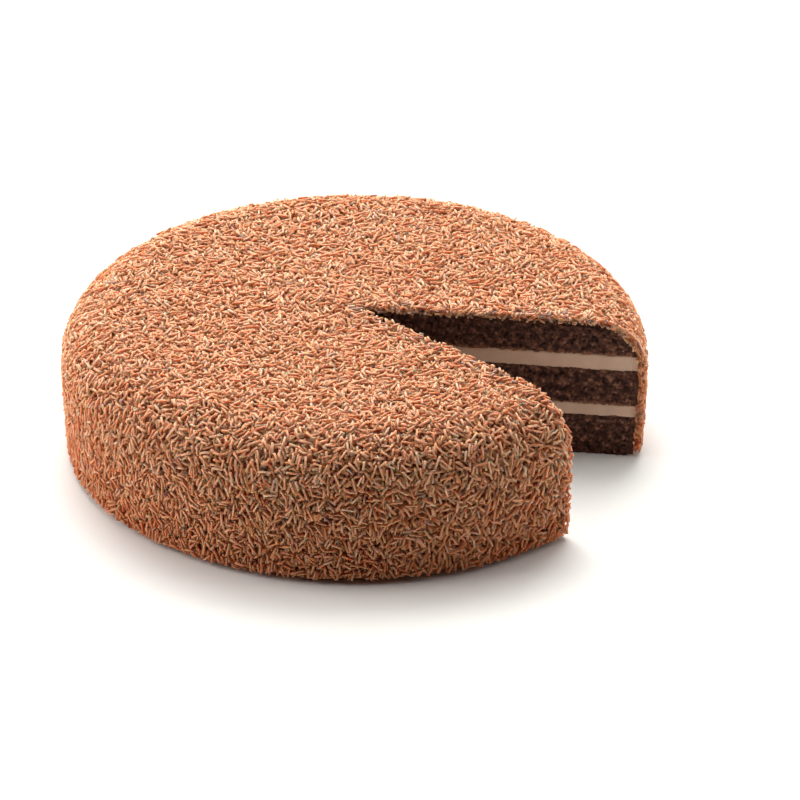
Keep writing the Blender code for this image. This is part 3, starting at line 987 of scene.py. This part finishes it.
def make_layer(index, relief_of, depth, step, material, grow=0.0):
    """A sponge or cream disc with its wedge missing, from loops stacked from its bottom to its top.

    depth is how deep the relief of its cuts is, step is the distance between points there, and grow is how
    far it reaches into the layers above and below, so that no gap opens between them.
    """
    name, thickness = LAYERS[index]
    turns, reach, nx, ny, ray = layer_loop(step)
    count = len(turns)
    base = sum(part for _, part in LAYERS[:index])
    shares = np.linspace(0.0, 1.0, max(3, round(thickness / step) + 1))
    length = ray_length(turns, stack_radius(base + thickness * shares)[:, None]) * reach
    x = CUT_TIP[0] + length * np.cos(turns)
    y = CUT_TIP[1] + length * np.sin(turns)
    low = level_between(index, x[0], y[0]) - grow * (index > 0)
    high = level_between(index + 1, x[-1], y[-1]) + grow * (index + 1 < len(LAYERS))
    z = low + (high - low) * shares[:, None]
    caps = []
    for row in (0, -1):
        caps.append(np.stack([x[row] - nx * INSET, y[row] - ny * INSET, z[row]], -1))

    # The knife left the cuts rough, but not the tip and the rim, where all the pieces meet
    relief = np.zeros_like(x)
    for side, columns in enumerate((slice(0, ray), slice(count - 1 - ray, count - 1))):
        places = zip(length[:, columns].ravel() / MM, z[:, columns].ravel() / MM)
        heights = np.array([relief_of(along, height, side) for along, height in places])
        relief[:, columns] = heights.reshape(len(shares), ray)
    fade = np.clip(length / CUT_EDGE, 0.0, 1.0)
    fade *= np.clip((1.0 - reach) * STACK_RADIUS / RIM_EDGE, 0.0, 1.0)
    x += nx * depth * relief * fade
    y += ny * depth * relief * fade

    rows = len(shares)
    loops = np.arange(rows * count).reshape(rows, count)
    walls = np.stack([loops[:-1], np.roll(loops[:-1], -1, 1), np.roll(loops[1:], -1, 1), loops[1:]], -1)
    low_strip, low_fans = cap_faces(loops[0], loops[-1] + count, ray)
    high_strip, high_fans = cap_faces(loops[-1], loops[-1] + 2 * count, ray)
    quads = np.concatenate([walls.reshape(-1, 4), low_strip[:, ::-1], high_strip])
    triangles = np.concatenate([low_fans[:, ::-1], high_fans])
    above_cream = (z - low) / MM if index > 0 else np.full_like(z, FAR_FROM_CREAM)
    values = {
        "relief": np.concatenate([relief.ravel(), np.zeros(2 * count)]),
        "above_cream": np.concatenate([above_cream.ravel(), np.zeros(2 * count)]),
    }
    points = np.concatenate([np.stack([x, y, z], -1).reshape(-1, 3), *caps])
    return mesh_piece(name + "_cut", points, [triangles, quads], material, values=values)


# %% [markdown]
# ## Chocolate sponge and milk chocolate cream
# Cocoa makes sponge dark, and its colour is painted nearly black in the pores, as painted shade, and dark
# red-brown on the walls, as painted light where they stand out. Baked crumb scatters light and is never
# glossy. The cream is fat and milk chocolate whipped together: pale brown, close-grained, with a soft shine
# where the knife has drawn it. The knife also drags cream up over the foot of the sponge above it. That
# could be a piece of its own, but it is so thin that a second colour on the sponge does: every point of a
# sponge knows how many millimetres it is above the cream.

# %% Torn chocolate sponge
# A knife leaves tongues of cream about 3 mm wide
SMEAR_SIZE = 3.2 * MM
SMEAR_COLOUR = "9c6c52"
SMEAR_UNEVEN = 4.5
SMEAR_FADE = {"From Min": -1.8, "From Max": -0.6, "To Min": 0.75, "To Max": 0.0}
# How strongly the relief paints shade into the pores and light onto the ridges
RELIEF_PAINTED_SHADE = 0.22


def chocolate_sponge():
    """Sponge torn by a knife: quite dull, with painted shade in the pores and painted light on the ridges.
    """
    dull = {"Specular IOR Level": 0.25}
    material, tree, shader = new_material("chocolate_sponge_torn", 0.9, 1.4, dull)
    relief = add_node(tree, "ShaderNodeAttribute", {"attribute_name": "relief"}).outputs["Fac"]
    place = add_node(tree, "ShaderNodeTexCoord").outputs["Object"]
    grain = crumb_noise(tree, place)
    # Painted shade and light: the relief makes the colour darker in the pores and lighter on the ridges
    fine = add_node(tree, "ShaderNodeMath", MULTIPLY_ADD, i0=relief, i1=RELIEF_PAINTED_SHADE, i2=grain)
    ramp = add_node(tree, "ShaderNodeValToRGB", Fac=fine.outputs[0])
    crumb = set_stops(ramp, [(0.2, "1e100d"), (0.42, "452a23"), (0.6, "6c4839"), (0.78, "a67860")])

    # The smeared cream ends at an uneven height, a millimetre or two above the layer that it comes from
    above = add_node(tree, "ShaderNodeAttribute", {"attribute_name": "above_cream"}).outputs["Fac"]
    uneven = add_node(tree, "ShaderNodeTexNoise", Vector=place, Scale=1 / SMEAR_SIZE, Detail=2.0)
    reach = {"i0": uneven.outputs["Fac"], "i1": -SMEAR_UNEVEN, "i2": above}
    edge = add_node(tree, "ShaderNodeMath", MULTIPLY_ADD, **reach).outputs[0]
    smear = add_node(tree, "ShaderNodeMapRange", Value=edge, **SMEAR_FADE).outputs["Result"]
    smeared = add_node(tree, "ShaderNodeMix", MIX_COLOURS, i0=smear, i6=crumb, i7=linear(SMEAR_COLOUR))
    tree.links.new(smeared.outputs["Result"], shader.inputs["Base Color"])
    bump = add_node(tree, "ShaderNodeBump", Height=grain, Strength=0.6, Distance=0.4 * MM)
    tree.links.new(bump.outputs["Normal"], shader.inputs["Normal"])
    return material


# %% Whipped cream
# Its paler clouds are about as wide as the layer is thick
CLOUD_SIZE = 7.0 * MM


def whipped_cream():
    """Cream drawn smooth by a knife: a soft shine, and clouds where it was whipped less evenly."""
    material, tree, shader = new_material("milk_chocolate_cream", roughness=0.5, ior=1.45)
    place = add_node(tree, "ShaderNodeTexCoord").outputs["Object"]
    cloud = add_node(tree, "ShaderNodeTexNoise", Vector=place, Scale=1 / CLOUD_SIZE, Detail=3.0)
    ramp = add_node(tree, "ShaderNodeValToRGB", Fac=cloud.outputs["Fac"])
    tree.links.new(set_stops(ramp, [(0.3, CREAM_TONE), (0.7, CREAM_PALE)]), shader.inputs["Base Color"])
    return material


# %% All five layers
SPONGE_DEPTH, SPONGE_STEP = 0.6 * MM, 0.55 * MM
CREAM_DEPTH, CREAM_STEP = 0.15 * MM, 0.9 * MM
CREAM_GROWS = 0.25 * MM

sponge = chocolate_sponge()
cream = whipped_cream()
for index, (layer_name, _) in enumerate(LAYERS):
    if layer_name.startswith("sponge"):
        layer = make_layer(index, crumb_relief, SPONGE_DEPTH, SPONGE_STEP, sponge)
        dress(layer, layer_name)
    else:
        layer = make_layer(index, smear_relief, CREAM_DEPTH, CREAM_STEP, cream, grow=CREAM_GROWS)
        dress(layer, layer_name)

# %% [markdown]
# ## Floor, light and camera
# The cake stands on a pale floor. Most of the light is soft and comes from behind and above, so that each
# sprinkle has a bright back and its own small shade, and weaker lights on the left and right keep the side
# from going dark. The camera looks down by about 28 degrees through a long lens, from far enough away that
# the cake's back is hardly smaller than its front. It isn't aimed at the cake's middle, because the cake
# sits a little to the left of the middle of the picture, and higher.

# %% Floor
FLOOR_HALF = 3.0
FLOOR_CORNERS = ((-1, -1, 0), (1, -1, 0), (1, 1, 0), (-1, 1, 0))


def make_floor():
    """A sheet of matt paper, much wider than the picture, so that none of its edges shows."""
    material, _, shader = new_material("studio_paper", roughness=0.8, ior=1.45)
    shader.inputs["Base Color"].default_value = linear("fdfbf6")
    points = np.array(FLOOR_CORNERS, float) * FLOOR_HALF
    floor = mesh_piece("floor", points, [np.array([[0, 1, 2, 3]])], material, smooth=False)


make_floor()
print("the floor is", 2 * FLOOR_HALF, "m wide")

# %% Lights
# The name, place, width in metres and power in watts of each light
LIGHT_AIM = Vector((0.0, 0.0, 0.03))
LIGHTS = (
    ("light_behind", (0.0, 1.35, 1.35), 2.0, 47.0),
    ("light_above", (0.0, 0.7, 1.95), 2.0, 34.0),
    ("light_left", (-1.6, 0.1, 0.9), 1.2, 22.0),
    ("light_right", (1.6, 0.2, 0.9), 1.2, 7.0),
)
ROOM_LIGHT = 0.02


def soft_light(name, place, size, power):
    """A white square area light at a place, turned towards the cake."""
    lamp = bpy.data.lights.new(name, "AREA")
    lamp.size = size
    lamp.energy = power
    holder = bpy.data.objects.new(name, lamp)
    holder.location = place
    holder.rotation_euler = (LIGHT_AIM - Vector(place)).to_track_quat("-Z", "Y").to_euler()
    bpy.context.scene.collection.objects.link(holder)


for light in LIGHTS:
    soft_light(*light)
    print(light[0], "gives", light[-1], "W")

world = bpy.data.worlds.new("studio")
world.use_nodes = True
background = world.node_tree.nodes["Background"]
background.inputs["Color"].default_value = linear("ffffff")
background.inputs["Strength"].default_value = ROOM_LIGHT
bpy.context.scene.world = world
bpy.context.scene.view_settings.view_transform = "Standard"

# %% Camera
# Fitted to the two ellipses of the cake's top and foot. The aim is in pixels from the cake's middle.
CAMERA_DISTANCE = 2.321
CAMERA_ELEVATION = math.radians(28.47)
PIXELS_PER_METRE = 2243.0
PICTURE_SIDE = 800
SENSOR = 36.0
AIM_HEIGHT = 28.3 * MM
AIM_RIGHT, AIM_DOWN = 45.3, 16.9

looking = Vector((0.0, math.cos(CAMERA_ELEVATION), -math.sin(CAMERA_ELEVATION)))
rightward = Vector((1.0, 0.0, 0.0))
upward = rightward.cross(looking)
middle_of_cake = Vector((0.0, 0.0, AIM_HEIGHT))
aim = middle_of_cake + (rightward * AIM_RIGHT - upward * AIM_DOWN) / PIXELS_PER_METRE
lens = bpy.data.cameras.new("camera")
lens.sensor_width = SENSOR
lens.lens = SENSOR * PIXELS_PER_METRE * CAMERA_DISTANCE / PICTURE_SIDE
lens.clip_start, lens.clip_end = 0.05, 20.0
camera = bpy.data.objects.new("camera", lens)
camera.location = middle_of_cake - looking * CAMERA_DISTANCE
camera.rotation_euler = (aim - camera.location).to_track_quat("-Z", "Y").to_euler()
bpy.context.scene.collection.objects.link(camera)
bpy.context.scene.camera = camera
print("lens of", round(lens.lens), "mm")
